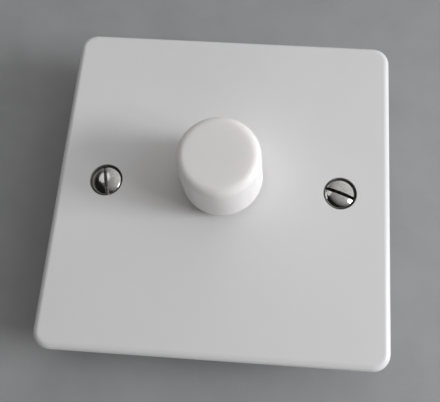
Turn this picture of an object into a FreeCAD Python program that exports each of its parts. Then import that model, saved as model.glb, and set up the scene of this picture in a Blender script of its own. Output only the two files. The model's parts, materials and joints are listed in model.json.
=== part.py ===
import FreeCAD, Part
import math
import os
import re
import Sketcher
from FreeCAD import Vector

os.makedirs("parts", exist_ok=True)
doc = FreeCAD.newDocument("RotaryDimmer")

# One-gang rotary dimmer with a push switch.
# Frame: the origin lies on the wall plane, midway between the two fixing screws.
# +X runs to the right of the plate, +Y to its top edge, +Z out of its face. Millimetres.

DIMENSIONS = [
    # faceplate
    ("plate_side", 86.0, "square outline of a one-gang plate"),
    ("plate_high", 8.0, "wall plane to the front face"),
    ("plate_skin", 2.2, "thickness behind the front face"),
    ("plate_wall", 2.2, "thickness of the side walls"),
    ("plate_corner", 4.5, "corner radius of the outline"),
    ("plate_roll", 1.8, "radius of the front edge"),
    ("screw_pitch", 60.3, "distance between the fixing screws"),
    ("boss_dia", 10.2, "boss behind each screw well"),
    ("rib_low", 4.6, "lower edge of the stiffening ribs"),
    ("boss_low", 1.2, "height of the boss ends above the wall plane"),
    ("rib_pitch", 20.0, "spacing of the stiffening ribs"),
    ("rib_thick", 0.9, "stiffening ribs"),
    ("well_dia", 8.4, "screw well at the face"),
    ("well_deep", 1.0, "depth of the screw well"),
    ("seat_dia", 8.3, "wide end of the countersink"),
    ("screw_hole", 4.0, "clearance hole of the fixing screw"),
    ("bush_hole", 7.4, "hole for the potentiometer bush"),
    # fixing screws
    ("screw_dia", 3.5, "thread of the fixing screw"),
    ("neck_dia", 2.9, "thinner neck that the retainer holds"),
    ("neck_low", 0.1, "lower end of the neck"),
    ("screw_head", 8.1, "head diameter"),
    ("screw_dome", 1.4, "height of the raised head"),
    ("screw_tip", -8.6, "height of the screw tip"),
    ("slot_wide", 0.9, "driver slot width"),
    ("slot_deep", 1.5, "driver slot depth"),
    ("thread_pitch", 0.6, "pitch of the screw thread"),
    ("thread_deep", 0.2, "depth of the screw thread"),
    ("thread_top", -2.5, "upper end of the thread"),
    ("retainer_dia", 9.0, "screw retainer"),
    ("retainer_low", 0.2, "underside of the screw retainer"),
    ("slip", 0.2, "hole over shank diameter at a loose fit"),
    # knob and its axis
    ("knob_y", 2.0, "height of the knob axis above the plate centre"),
    ("knob_low", 10.0, "lower rim of the knob at rest"),
    ("knob_top", 25.2, "top of the knob at rest"),
    ("knob_base_dia", 20.6, "diameter at the lower rim"),
    ("knob_top_dia", 19.5, "diameter under the top rounding"),
    ("knob_round", 2.0, "rounding of the top edge"),
    ("knob_wall", 1.9, "wall of the knob"),
    ("knob_cap", 2.5, "thickness of the knob's top"),
    ("hub_low", 13.2, "lower end of the hub"),
    ("hub_dia", 9.4, "hub that takes the shaft"),
    ("hub_bore", 7.0, "bore of the hub"),
    ("rib_wide", 1.2, "ribs between hub and wall"),
    ("rim_round", 0.4, "rounding of the lower rim"),
    ("split_wide", 2.4, "slot along the clip"),
    ("push_travel", 1.5, "travel of the push switch"),
    # shaft, bush, nut and washer
    ("shaft_dia", 6.0, "shaft in the bush"),
    ("shaft_top", 22.5, "upper end of the shaft at rest"),
    ("shaft_low", -1.85, "lower end of the shaft at rest"),
    ("shaft_flat", 1.5, "axis to the upper flat"),
    ("flat_low", 13.6, "lower end of the upper flat"),
    ("collar_dia", 7.4, "collar that stops the shaft under the bush"),
    ("collar_low", 2.15, "lower side of the collar"),
    ("collar_top", 2.45, "upper side of the collar"),
    ("drive_dia", 4.6, "lower part that turns the rotor"),
    ("drive_flat", 1.5, "axis to the lower flat"),
    ("bush_dia", 7.0, "threaded bush"),
    ("bush_bore", 6.1, "bore of the bush, running fit"),
    ("bush_top", 11.2, "upper end of the bush"),
    ("flange_dia", 9.4, "flange of the bush"),
    ("flange_low", 2.5, "lower side of the flange"),
    ("nut_flats", 10.0, "nut across flats"),
    ("nut_high", 2.0, "nut height"),
    ("washer_dia", 12.0, "lock washer"),
    ("washer_thick", 0.5, "lock washer"),
    # heat sink and case
    ("sink_thick", 1.5, "heat sink sheet"),
    ("case_wide", 49.0, "case along X"),
    ("case_tall", 46.0, "case along Y"),
    ("case_back", -11.0, "outer face of the case floor"),
    ("case_wall", 1.5, "case walls and floor"),
    ("case_corner", 2.5, "corner radius of case and heat sink"),
    ("post_x", 20.6, "case screws from the middle"),
    ("post_y", 19.0, "case screws from the middle"),
    ("post_dia", 6.8, "case posts"),
    ("case_screw_dia", 2.6, "case screws"),
    ("case_head_dia", 4.8, "heads of the case screws"),
    ("case_head_high", 1.6, "heads of the case screws"),
    ("case_head_sink", 2.0, "depth of the head recesses"),
    ("rest_dia", 2.4, "rests under the board"),
    ("rest_x", 22.0, "rests from the middle"),
    ("rest_high", 12.0, "upper pair of rests"),
    ("rest_foot", -11.6, "lower pair of rests"),
    # potentiometer
    ("front_thick", 1.0, "front plate of the potentiometer"),
    ("can_dia", 17.4, "outside of the can"),
    ("can_sheet", 0.4, "sheet of the can"),
    ("can_low", -1.1, "underside of the can"),
    ("can_hole", 7.4, "hole in the can for the plunger"),
    ("pin_gap", 13.6, "gap in the can over the pins"),
    ("disc_dia", 16.2, "insulating disc"),
    ("disc_low", -0.7, "underside of the insulating disc"),
    ("disc_thick", 0.8, "insulating disc"),
    ("disc_hole", 7.6, "hole in the insulating disc"),
    ("pin_tab_wide", 13.0, "tab of the disc that carries the pins"),
    ("pin_tab_long", 6.0, "tab of the disc that carries the pins"),
    ("pin_tab_drop", 7.8, "middle of that tab below the axis"),
    ("film_thick", 0.15, "track and collector"),
    ("track_in", 11.2, "inner diameter of the track"),
    ("track_out", 14.8, "outer diameter of the track"),
    ("ring_in", 8.2, "inner diameter of the collector"),
    ("ring_out", 10.0, "outer diameter of the collector"),
    ("track_gap", 60.0, "angle the track leaves open"),
    ("rotor_dia", 15.6, "rotor disc"),
    ("rotor_top", 2.4, "upper side of the rotor"),
    ("rotor_web", 1.1, "underside of the rotor disc"),
    ("rotor_boss", 3.6, "radius of the rotor's lower boss"),
    ("rotor_step", 4.4, "radius of the step above the boss"),
    ("wiper_out", 14.4, "outer diameter of the wiper"),
    ("wiper_in", 9.2, "inner diameter of the wiper"),
    ("wiper_thick", 0.2, "sheet of the wiper"),
    ("finger_side", 0.6, "contact fingers of the wiper"),
    ("finger_in", 4.75, "axis to the finger on the collector"),
    ("pin_wide", 0.8, "solder pins"),
    ("pin_thick", 0.4, "solder pins"),
    ("pin_tip", -9.2, "tips of the soldered pins"),
    ("pin_pitch", 5.0, "spacing of the potentiometer pins"),
    # push switch
    ("switch_side", 15.0, "switch housing along X"),
    ("switch_tall", 11.0, "switch housing along Y"),
    ("switch_wall", 1.0, "walls of the switch housing"),
    ("switch_skin", 0.6, "floor and roof of the switch housing"),
    ("plunger_dia", 6.8, "plunger"),
    ("plunger_top", -1.9, "upper side of the plunger at rest"),
    ("plunger_thick", 0.8, "plunger"),
    ("bridge_long", 12.0, "moving contact"),
    ("bridge_wide", 2.6, "moving contact"),
    ("bridge_thick", 0.3, "moving contact"),
    ("contact_x", 4.9, "contacts from the axis"),
    ("contact_high", 0.3, "contact tips"),
    ("spring_dia", 4.4, "mean diameter of the return spring"),
    ("spring_wire", 0.35, "wire of the return spring"),
    # circuit board and its parts
    ("board_low", -8.3, "solder side of the board"),
    ("board_thick", 1.6, "board"),
    ("board_gap", 0.3, "play between board and case"),
    ("board_front", -13.2, "edge of the board beside the terminals"),
    ("triac_x", -16.0, "triac centre line"),
    ("triac_y", -3.0, "middle of the triac body"),
    ("triac_wide", 10.2, "triac body and tab"),
    ("tab_thick", 1.3, "tab of the triac"),
    ("lead_pitch", 2.54, "spacing of the triac leads"),
    ("pad_thick", 0.2, "thermal pad"),
    ("choke_x", 13.6, "choke centre"),
    ("choke_y", 10.7, "choke centre"),
    ("choke_out", 12.6, "core outside"),
    ("choke_in", 7.0, "core inside"),
    ("choke_high", 4.6, "core height"),
    ("choke_wire", 0.7, "winding wire"),
    ("film_cap_x", 16.2, "suppression capacitor"),
    ("film_cap_y", -6.0, "suppression capacitor"),
    ("timing_cap_x", -15.0, "timing capacitor"),
    ("timing_cap_y", 10.6, "timing capacitor"),
    ("row_y", -1.0, "middle of the resistors and the diac"),
    ("fuse_x", -6.5, "fuse centre"),
    ("fuse_y", 16.0, "fuse centre"),
    ("fuse_axis", -3.4, "height of the fuse axis"),
    ("fuse_long", 20.0, "fuse length"),
    ("fuse_dia", 5.0, "fuse tube"),
    ("trim_x", 19.9, "trimmer centre"),
    ("trim_y", 1.6, "trimmer centre"),
    ("trim_side", 5.0, "trimmer body"),
    ("trim_dia", 3.2, "trimmer rotor"),
    # terminals
    ("term_pitch", 11.0, "spacing of the terminals"),
    ("term_y", -17.5, "middle of the terminals"),
    ("term_axis", -3.2, "height of the wire bores"),
    ("wire_dia", 3.4, "wire bore"),
    ("cage_wide", 6.0, "brass clamp along X"),
    ("cage_long", 6.4, "brass clamp along Y"),
    ("cage_low", -7.0, "underside of the clamp"),
    ("cage_top", -1.2, "upper side of the clamp"),
    ("block_wide", 31.0, "terminal block along X"),
    ("block_long", 7.8, "terminal block along Y"),
    ("block_top", -0.6, "upper side of the terminal block"),
    ("clamp_dia", 3.2, "terminal screw thread"),
    ("clamp_head", 4.6, "terminal screw head"),
    # heights that follow from the ones above
    ("skin_low", "=plate_high - plate_skin", "underside of the front skin"),
    ("sink_low", "=skin_low - sink_thick", "underside of the heat sink"),
    ("front_low", "=sink_low - front_thick", "underside of the potentiometer front"),
    ("floor_top", "=case_back + case_wall", "inside of the case floor"),
    ("board_top", "=board_low + board_thick", "component side of the board"),
    ("disc_top", "=disc_low + disc_thick", "upper side of the insulating disc"),
    ("film_top", "=disc_top + film_thick", "upper side of the track"),
    ("hub_top", "=knob_top - knob_cap", "ceiling of the knob"),
    ("nut_low", "=plate_high + washer_thick", "underside of the nut"),
    ("plunger_low", "=plunger_top - plunger_thick", "underside of the plunger"),
    ("bridge_low", "=plunger_low - bridge_thick", "underside of the moving contact"),
    ("cavity_low", "=board_top + switch_skin", "floor of the switch cavity"),
    ("cavity_top", "=can_low - switch_skin", "roof of the switch cavity"),
    ("head_low", "=plate_high - well_deep", "edge of the fixing screw head"),
    ("knob_rib_low", "=hub_low + 1.6", "lower edge of the knob's ribs"),
    ("track_mid", "=(track_in + track_out) / 4", "axis to the middle of the track"),
    ("pin_y", "=knob_y - 10.8", "outer face of the potentiometer pins"),
    ("triac_hole_y", "=triac_y + 7.6", "hole in the triac's tab"),
    ("tail_y", "=term_y + 5.8", "solder pins of the terminals"),
    ("tab_low", "=sink_low - pad_thick - tab_thick", "underside of the triac tab"),
    ("case_in_x", "=case_wide / 2 - case_wall", "inside of the case walls"),
    ("case_in_y", "=case_tall / 2 - case_wall", "inside of the case walls"),
]

sheet = doc.addObject("Spreadsheet::Sheet", "Dimensions")
for row, (alias, value, note) in enumerate(DIMENSIONS, start=1):
    sheet.set("A%d" % row, alias)
    sheet.set("B%d" % row, str(value))
    sheet.set("C%d" % row, note)
    sheet.setAlias("B%d" % row, alias)
doc.recompute()

ALIASES = set(entry[0] for entry in DIMENSIONS)
NODES = {}
CHOKE_ENDS = (math.radians(75), math.radians(385))
DOME_STEPS = 14
SLOT_TURNS = (("Left", -1, 102.0), ("Right", 1, -19.0))


def size(alias):
    """The present value of one dimension."""
    return float(sheet.get(alias))


def linked(text):
    """An expression with every dimension name pointed at the sheet."""
    def point(match):
        word = match.group(0)
        return "Dimensions." + word if word in ALIASES else word
    return re.sub(r"[a-z_]+", point, str(text))


def node(name):
    """A new body whose label is the name of its node."""
    body = doc.addObject("PartDesign::Body", name)
    body.Label = name
    body.AllowCompound = True
    NODES[name] = body
    return body


def origin_plane(body, role):
    for feature in body.Origin.OriginFeatures:
        if feature.Role == role:
            return feature
    raise ValueError(role)


def flat_sketch(body, name, height):
    """A sketch parallel to the wall at a height above it."""
    sketch = body.newObject("Sketcher::SketchObject", name)
    sketch.AttachmentSupport = (origin_plane(body, "XY_Plane"), "")
    sketch.MapMode = "FlatFace"
    sketch.setExpression("AttachmentOffset.Base.z", linked(height))
    return sketch


def upright_sketch(body, name, across, along):
    """A sketch in a plane across Y; its own axes are X and Z, its origin at (across, along)."""
    sketch = body.newObject("Sketcher::SketchObject", name)
    sketch.AttachmentSupport = (origin_plane(body, "XZ_Plane"), "")
    sketch.MapMode = "FlatFace"
    sketch.setExpression("AttachmentOffset.Base.x", linked(across))
    sketch.setExpression("AttachmentOffset.Base.z", "-(%s)" % linked(along))
    return sketch


def side_sketch(body, name, along, across):
    """A sketch in a plane across X; its own axes are Y and Z, its origin at (along, across)."""
    sketch = body.newObject("Sketcher::SketchObject", name)
    sketch.AttachmentSupport = (origin_plane(body, "YZ_Plane"), "")
    sketch.MapMode = "FlatFace"
    sketch.setExpression("AttachmentOffset.Base.x", linked(along))
    sketch.setExpression("AttachmentOffset.Base.z", linked(across))
    return sketch


def locate(sketch, geometry, point, across, up):
    """Bind one point of a sketch to its two coordinates."""
    for kind, text in (("DistanceX", across), ("DistanceY", up)):
        index = sketch.addConstraint(Sketcher.Constraint(kind, -1, 1, geometry, point, 1.0))
        sketch.setExpression("Constraints[%d]" % index, linked(text))


def add_polygon(sketch, points):
    """A closed outline through points given as pairs of expressions."""
    count = len(points)
    start = sketch.GeometryCount
    ring = []
    for step in range(count):
        turn = 2 * math.pi * step / count
        ring.append(Vector(math.cos(turn), math.sin(turn), 0))
    for step in range(count):
        sketch.addGeometry(Part.LineSegment(ring[step], ring[(step + 1) % count]), False)
    for step in range(count):
        following = start + (step + 1) % count
        sketch.addConstraint(Sketcher.Constraint("Coincident", start + step, 2, following, 1))
    for step, (across, up) in enumerate(points):
        locate(sketch, start + step, 1, across, up)


def add_circle(sketch, diameter, across, up):
    index = sketch.addGeometry(Part.Circle(Vector(0.5, 0.5, 0), Vector(0, 0, 1), 1.0), False)
    limit = sketch.addConstraint(Sketcher.Constraint("Diameter", index, 2.0))
    sketch.setExpression("Constraints[%d]" % limit, linked(diameter))
    locate(sketch, index, 3, across, up)


def add_box(sketch, wide, tall, across, up):
    left = "(%s) - (%s) / 2" % (across, wide)
    right = "(%s) + (%s) / 2" % (across, wide)
    low = "(%s) - (%s) / 2" % (up, tall)
    high = "(%s) + (%s) / 2" % (up, tall)
    add_polygon(sketch, [(left, low), (right, low), (right, high), (left, high)])


def add_shapes(sketch, shapes):
    """Shapes are ("box", wide, tall, x, y), ("disc", diameter, x, y) or ("path", points)."""
    for shape in shapes:
        if shape[0] == "box":
            add_box(sketch, *shape[1:])
        elif shape[0] == "disc":
            add_circle(sketch, *shape[1:])
        else:
            add_polygon(sketch, shape[1])


def finish_feature(body, feature, length, backwards=False):
    feature.setExpression("Length", linked(length))
    feature.Reversed = backwards
    body.Tip = feature
    doc.recompute()
    return feature


def slab(body, name, low, high, shapes):
    """Material between two heights."""
    sketch = flat_sketch(body, name + "Outline", low)
    add_shapes(sketch, shapes)
    feature = body.newObject("PartDesign::Pad", name)
    feature.Profile = sketch
    return finish_feature(body, feature, "(%s) - (%s)" % (high, low))


def removed(body, before, name):
    """A cut that takes nothing away is a mistake."""
    if body.Shape.Volume > before - 1e-4:
        raise ValueError("%s: %s cuts nothing" % (body.Label, name))


def cut(body, name, low, high, shapes):
    """A pocket between two heights."""
    before = body.Shape.Volume
    sketch = flat_sketch(body, name + "Outline", high)
    add_shapes(sketch, shapes)
    feature = body.newObject("PartDesign::Pocket", name)
    feature.Profile = sketch
    finish_feature(body, feature, "(%s) - (%s)" % (high, low))
    removed(body, before, name)
    return feature


def cut_along_y(body, name, near, far, shapes):
    """A pocket that runs along +Y from near to far."""
    before = body.Shape.Volume
    sketch = upright_sketch(body, name + "Outline", "0", near)
    add_shapes(sketch, shapes)
    feature = body.newObject("PartDesign::Pocket", name)
    feature.Profile = sketch
    finish_feature(body, feature, "(%s) - (%s)" % (far, near))
    removed(body, before, name)
    return feature


def bar_along_x(body, name, near, far, shapes):
    """Material along +X from near to far; shapes are drawn in Y and Z."""
    sketch = side_sketch(body, name + "Outline", "0", near)
    add_shapes(sketch, shapes)
    feature = body.newObject("PartDesign::Pad", name)
    feature.Profile = sketch
    return finish_feature(body, feature, "(%s) - (%s)" % (far, near))


def bar_along_y(body, name, near, far, shapes):
    """Material along +Y from near to far; shapes are drawn in X and Z."""
    sketch = upright_sketch(body, name + "Outline", "0", far)
    add_shapes(sketch, shapes)
    feature = body.newObject("PartDesign::Pad", name)
    feature.Profile = sketch
    return finish_feature(body, feature, "(%s) - (%s)" % (far, near))


def turned(body, name, across, along, points):
    """Material turned about an upright axis; points are (radius, height)."""
    sketch = upright_sketch(body, name + "Profile", across, along)
    add_polygon(sketch, points)
    feature = body.newObject("PartDesign::Revolution", name)
    feature.Profile = sketch
    feature.ReferenceAxis = (sketch, ["V_Axis"])
    feature.Angle = 360
    body.Tip = feature
    doc.recompute()
    return feature


def turned_cut(body, name, across, along, points):
    """A groove turned about an upright axis."""
    before = body.Shape.Volume
    sketch = upright_sketch(body, name + "Profile", across, along)
    add_polygon(sketch, points)
    feature = body.newObject("PartDesign::Groove", name)
    feature.Profile = sketch
    feature.ReferenceAxis = (sketch, ["V_Axis"])
    feature.Angle = 360
    body.Tip = feature
    doc.recompute()
    removed(body, before, name)
    return feature


def rounded(body, name, radius, wanted):
    """Round the edges of the tip that the test accepts."""
    base = body.Tip
    edges = []
    for number, edge in enumerate(base.Shape.Edges, start=1):
        if wanted(edge):
            edges.append("Edge%d" % number)
    feature = body.newObject("PartDesign::Fillet", name)
    feature.Base = (base, edges)
    feature.setExpression("Radius", linked(radius))
    body.Tip = feature
    doc.recompute()
    return feature


def upright_at(half_x, half_y):
    """Accept upright edges at the corners of a centred rectangle."""
    def wanted(edge):
        box = edge.BoundBox
        upright = box.XLength < 1e-4 and box.YLength < 1e-4 and box.ZLength > 0.1
        return upright and abs(abs(box.XMin) - half_x) < 1e-3 and abs(abs(box.YMin) - half_y) < 1e-3
    return wanted


def level_at(height, reach):
    """Accept edges that lie flat at a height, as far out as reach from the middle."""
    def wanted(edge):
        box = edge.BoundBox
        flat = box.ZLength < 1e-4 and abs(box.ZMin - height) < 1e-3
        outer = max(abs(box.XMin), abs(box.XMax), abs(box.YMin), abs(box.YMax))
        return flat and outer > reach
    return wanted


def threaded(radius, depth, low, high, pitch):
    """Points of a ridged shank from low to high, outside only."""
    points = []
    ridges = int((high - low) / pitch)
    for ridge in range(ridges):
        base = low + ridge * pitch
        points.append((radius - depth, base))
        points.append((radius, base + pitch / 2))
    points.append((radius - depth, low + ridges * pitch))
    return points


def make_faceplate():
    body = node("faceplate")
    side = ("box", "plate_side", "plate_side", "0", "0")
    slab(body, "Blank", "0", "plate_high", [side])
    half = size("plate_side") / 2
    rounded(body, "Corners", "plate_corner", upright_at(half, half))
    rounded(body, "FrontRoll", "plate_roll", level_at(size("plate_high"), 30))
    room = "plate_side - 2 * plate_wall"
    cut(body, "Hollow", "0", "skin_low", [("box", room, room, "0", "0")])
    inner = half - size("plate_wall")
    rounded(body, "HollowCorners", "plate_corner - plate_wall", upright_at(inner, inner))
    for name, sign in (("Left", "-1"), ("Right", "1")):
        across = "%s * screw_pitch / 2" % sign
        slab(body, name + "Boss", "boss_low", "skin_low + 0.5", [("disc", "boss_dia", across, "0")])
        turned_cut(body, name + "Well", across, "0", [
            ("0", "plate_high + 1"),
            ("well_dia / 2", "plate_high + 1"),
            ("well_dia / 2", "head_low"),
            ("seat_dia / 2", "head_low"),
            ("screw_hole / 2", "head_low - (seat_dia - screw_hole) / 2"),
            ("screw_hole / 2", "boss_low - 1"),
            ("0", "boss_low - 1"),
        ])
    rib_long = "plate_side / 2 - plate_wall - case_tall / 2 - 0.2"
    for name, across in (("A", "-rib_pitch"), ("B", "0"), ("C", "rib_pitch")):
        for end, sign in (("Top", "1"), ("Foot", "-1")):
            along = "%s * (plate_side / 2 - plate_wall + case_tall / 2 + 0.6) / 2" % sign
            slab(body, "Rib" + name + end, "rib_low", "skin_low + 0.5",
                 [("box", "rib_thick", rib_long, across, along)])
    cut(body, "BushHole", "skin_low - 1", "plate_high + 1", [("disc", "bush_hole", "0", "knob_y")])


def make_fixing_screws():
    body = node("fixing_screws")
    radius = size("screw_dia") / 2
    pitch = size("thread_pitch")
    for name, sign, turn in SLOT_TURNS:
        across = "%d * screw_pitch / 2" % sign
        points = [("0", "screw_tip"), ("screw_dia / 2 - 0.7", "screw_tip")]
        points += threaded(radius, size("thread_deep"), size("screw_tip") + pitch, size("thread_top"), pitch)
        points += [("screw_dia / 2", "thread_top + thread_pitch / 2"),
                   ("screw_dia / 2", "neck_low"),
                   ("neck_dia / 2", "neck_low"),
                   ("neck_dia / 2", "head_low - (screw_head - neck_dia) / 2"),
                   ("screw_head / 2", "head_low")]
        for step in range(1, DOME_STEPS):
            turn_up = math.pi / 2 * step / DOME_STEPS
            points.append(("screw_head / 2 * %.5f" % math.cos(turn_up),
                           "head_low + screw_dome * %.5f" % math.sin(turn_up)))
        points.append(("0", "head_low + screw_dome"))
        turned(body, name + "Screw", across, "0", points)
        slot = flat_sketch(body, name + "SlotOutline", "head_low + screw_dome + 0.2")
        slot.setExpression("AttachmentOffset.Base.x", linked(across))
        slot.AttachmentOffset = FreeCAD.Placement(
            Vector(sign * size("screw_pitch") / 2, 0, size("head_low") + size("screw_dome") + 0.2),
            FreeCAD.Rotation(Vector(0, 0, 1), turn))
        add_box(slot, "screw_head + 2", "slot_wide", "0", "0")
        feature = body.newObject("PartDesign::Pocket", name + "Slot")
        feature.Profile = slot
        finish_feature(body, feature, "slot_deep + 0.2")


def make_screw_retainers():
    body = node("screw_retainers")
    for name, sign in (("Left", "-1"), ("Right", "1")):
        across = "%s * screw_pitch / 2" % sign
        slab(body, name, "retainer_low", "boss_low",
             [("disc", "retainer_dia", across, "0"), ("disc", "neck_dia + slip", across, "0")])


def make_knob():
    body = node("knob")
    turned(body, "Shell", "0", "knob_y", [
        ("knob_base_dia / 2 - knob_wall", "knob_low"),
        ("knob_base_dia / 2", "knob_low"),
        ("knob_top_dia / 2", "knob_top"),
        ("0", "knob_top"),
        ("0", "hub_top"),
        ("knob_top_dia / 2 - knob_wall", "hub_top"),
    ])
    top = size("knob_top")
    rounded(body, "TopRound", "knob_round",
            lambda edge: abs(edge.BoundBox.ZMin - top) < 1e-3 and edge.BoundBox.ZLength < 1e-3)
    low = size("knob_low")
    outer = size("knob_base_dia") / 2

    def lower_rim(edge):
        box = edge.BoundBox
        return abs(box.ZMax - low) < 1e-3 and box.XMax > outer - 0.01
    rounded(body, "RimRound", "rim_round", lower_rim)
    slab(body, "Hub", "hub_low", "hub_top + 0.5", [("disc", "hub_dia", "0", "knob_y")])
    reach = "knob_base_dia - 2 * knob_wall + 0.6"
    slab(body, "RibsAcross", "knob_rib_low", "hub_top + 0.5", [("box", reach, "rib_wide", "0", "knob_y")])
    slab(body, "RibsAlong", "knob_rib_low", "hub_top + 0.5", [("box", "rib_wide", reach, "0", "knob_y")])
    cut(body, "HubBore", "hub_low - 1", "hub_top", [("disc", "hub_bore", "0", "knob_y")])


def make_knob_clip():
    body = node("knob_clip")
    slab(body, "Sleeve", "hub_low + 1", "shaft_top - 0.6", [
        ("disc", "hub_bore - slip", "0", "knob_y"),
        ("disc", "shaft_dia + slip", "0", "knob_y"),
    ])
    cut(body, "Split", "hub_low", "shaft_top", 
        [("box", "split_wide", "hub_bore - 1", "0", "knob_y + hub_bore / 2 + 0.5")])


def make_shaft():
    body = node("shaft")
    turned(body, "Turning", "0", "knob_y", [
        ("0", "shaft_low"),
        ("drive_dia / 2 - 0.2", "shaft_low"),
        ("drive_dia / 2", "shaft_low + 0.2"),
        ("drive_dia / 2", "collar_low"),
        ("collar_dia / 2", "collar_low"),
        ("collar_dia / 2", "collar_top"),
        ("shaft_dia / 2", "collar_top"),
        ("shaft_dia / 2", "shaft_top - 0.5"),
        ("shaft_dia / 2 - 0.5", "shaft_top"),
        ("0", "shaft_top"),
    ])
    cut(body, "UpperFlat", "flat_low", "shaft_top + 1",
        [("box", "shaft_dia + 2", "4", "0", "knob_y + shaft_flat + 2")])
    cut(body, "LowerFlat", "shaft_low - 1", "collar_low",
        [("box", "drive_dia + 2", "4", "0", "knob_y + drive_flat + 2")])


def make_bushing():
    body = node("bushing")
    radius = size("bush_dia") / 2
    outside = threaded(radius, 0.2, size("skin_low"), size("bush_top") - 0.3, 0.5)
    turned(body, "Turning", "0", "knob_y", [
        ("bush_bore / 2", "flange_low"),
        ("flange_dia / 2", "flange_low"),
        ("flange_dia / 2", "front_low"),
        ("bush_dia / 2", "front_low"),
        ("bush_dia / 2", "skin_low - 0.3"),
    ] + outside + [
        ("bush_dia / 2 - 0.4", "bush_top"),
        ("bush_bore / 2", "bush_top"),
    ])


def make_bushing_nut():
    body = node("bushing_nut")
    corner = "nut_flats / sqrt(3)"
    points = []
    for step in range(6):
        turn = math.radians(60 * step)
        points.append(("%s * %.6f" % (corner, math.cos(turn)),
                       "knob_y + %s * %.6f" % (corner, math.sin(turn))))
    slab(body, "Hexagon", "nut_low", "nut_low + nut_high",
         [("path", points), ("disc", "bush_dia + slip", "0", "knob_y")])
    turned_cut(body, "CornerBevel", "0", "knob_y", [
        ("nut_flats / 2", "nut_low + nut_high + 0.01"),
        ("nut_flats / 2 + 1.4", "nut_low + nut_high + 0.01"),
        ("nut_flats / 2 + 1.4", "nut_low + nut_high - 0.8"),
    ])


def make_lock_washer():
    body = node("lock_washer")
    slab(body, "Ring", "plate_high", "nut_low", [
        ("disc", "washer_dia", "0", "knob_y"),
        ("disc", "bush_dia + 0.5", "0", "knob_y"),
    ])
    teeth = 12
    notches = []
    for step in range(teeth):
        turn = 2 * math.pi * step / teeth
        notches.append(("disc", "0.9", "washer_dia / 2 * %.5f" % math.cos(turn),
                        "knob_y + washer_dia / 2 * %.5f" % math.sin(turn)))
    cut(body, "Notches", "plate_high - 1", "nut_low + 1", notches)


def make_heat_sink():
    body = node("heat_sink")
    slab(body, "Sheet", "sink_low", "skin_low", [("box", "case_wide", "case_tall", "0", "0")])
    rounded(body, "Corners", "case_corner", upright_at(size("case_wide") / 2, size("case_tall") / 2))
    holes = [("disc", "bush_dia + 0.6", "0", "knob_y"),
             ("disc", "3.2", "triac_x", "triac_hole_y")]
    for side in ("-1", "1"):
        for end in ("-1", "1"):
            holes.append(("disc", "case_screw_dia + slip", side + " * post_x", end + " * post_y"))
    cut(body, "Holes", "sink_low - 1", "skin_low + 1", holes)


def make_rear_case():
    body = node("rear_case")
    slab(body, "Blank", "case_back", "sink_low", [("box", "case_wide", "case_tall", "0", "0")])
    rounded(body, "Corners", "case_corner", upright_at(size("case_wide") / 2, size("case_tall") / 2))
    rounded(body, "BackRoll", "1", level_at(size("case_back"), 15))
    cut(body, "Hollow", "floor_top", "sink_low + 1",
        [("box", "2 * case_in_x", "2 * case_in_y", "0", "0")])
    posts = []
    for side in ("-1", "1"):
        for end in ("-1", "1"):
            posts.append((side + " * post_x", end + " * post_y"))
    for number, (across, along) in enumerate(posts):
        slab(body, "Post%d" % number, "floor_top - 0.5", "sink_low", [("disc", "post_dia", across, along)])
    rests = [("rest_x", "rest_high"), ("-rest_x", "rest_high"),
             ("rest_x", "rest_foot"), ("-rest_x", "rest_foot")]
    for number, (across, along) in enumerate(rests):
        slab(body, "Rest%d" % number, "floor_top - 0.5", "board_low", [("disc", "rest_dia", across, along)])
    shanks = [("disc", "case_screw_dia + slip", across, along) for across, along in posts]
    heads = [("disc", "case_head_dia + 0.4", across, along) for across, along in posts]
    cut(body, "ScrewHoles", "case_back - 1", "sink_low + 1", shanks)
    cut(body, "HeadRecesses", "case_back - 1", "case_back + case_head_sink", heads)
    terminals = ["-term_pitch", "0", "term_pitch"]
    wells = [("disc", "clamp_head + 0.6", across, "term_y") for across in terminals]
    cut(body, "DriverHoles", "case_back - 1", "floor_top + 1", wells)
    cut(body, "TrimHole", "case_back - 1", "floor_top + 1", [("disc", "trim_dia + 0.4", "trim_x", "trim_y")])
    entries = [("disc", "wire_dia + 0.8", across, "term_axis") for across in terminals]
    cut_along_y(body, "WireEntries", "-case_tall / 2 - 1", "-case_in_y + 0.5", entries)
    vents = [("box", "1.4", "7", "%d" % (-12 + 4 * step), "0") for step in range(7)]
    cut_along_y(body, "Vents", "case_in_y - 0.5", "case_tall / 2 + 1", vents)


def make_case_screws():
    body = node("case_screws")
    radius = size("case_screw_dia") / 2
    head_top = size("case_back") + size("case_head_sink")
    end = size("skin_low") - 0.3
    number = 0
    for side in ("-1", "1"):
        for upper in ("-1", "1"):
            number += 1
            across = side + " * post_x"
            along = upper + " * post_y"
            points = [("0", "case_back + case_head_sink - case_head_high"),
                      ("case_head_dia / 2 - 0.3", "case_back + case_head_sink - case_head_high"),
                      ("case_head_dia / 2", "case_back + case_head_sink - case_head_high + 0.3"),
                      ("case_head_dia / 2", "case_back + case_head_sink"),
                      ("case_screw_dia / 2 - 0.15", "case_back + case_head_sink")]
            points += threaded(radius, 0.15, head_top + 0.5, end - 0.9, 0.9)
            points += [("0.4", "skin_low - 0.3"), ("0", "skin_low - 0.3")]
            turned(body, "Screw%d" % number, across, along, points)
            cross = [("box", "3", "0.7", across, along), ("box", "0.7", "3", across, along)]
            for bar, shape in enumerate(cross):
                low = "case_back + case_head_sink - case_head_high - 0.5"
                cut(body, "Cross%d_%d" % (number, bar), low, low + " + 1.3", [shape])


def make_pot_front():
    body = node("pot_front")
    slab(body, "Sheet", "front_low", "sink_low", [
        ("box", "can_dia", "can_dia", "0", "knob_y"),
        ("disc", "bush_dia + 0.6", "0", "knob_y"),
    ])


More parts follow.
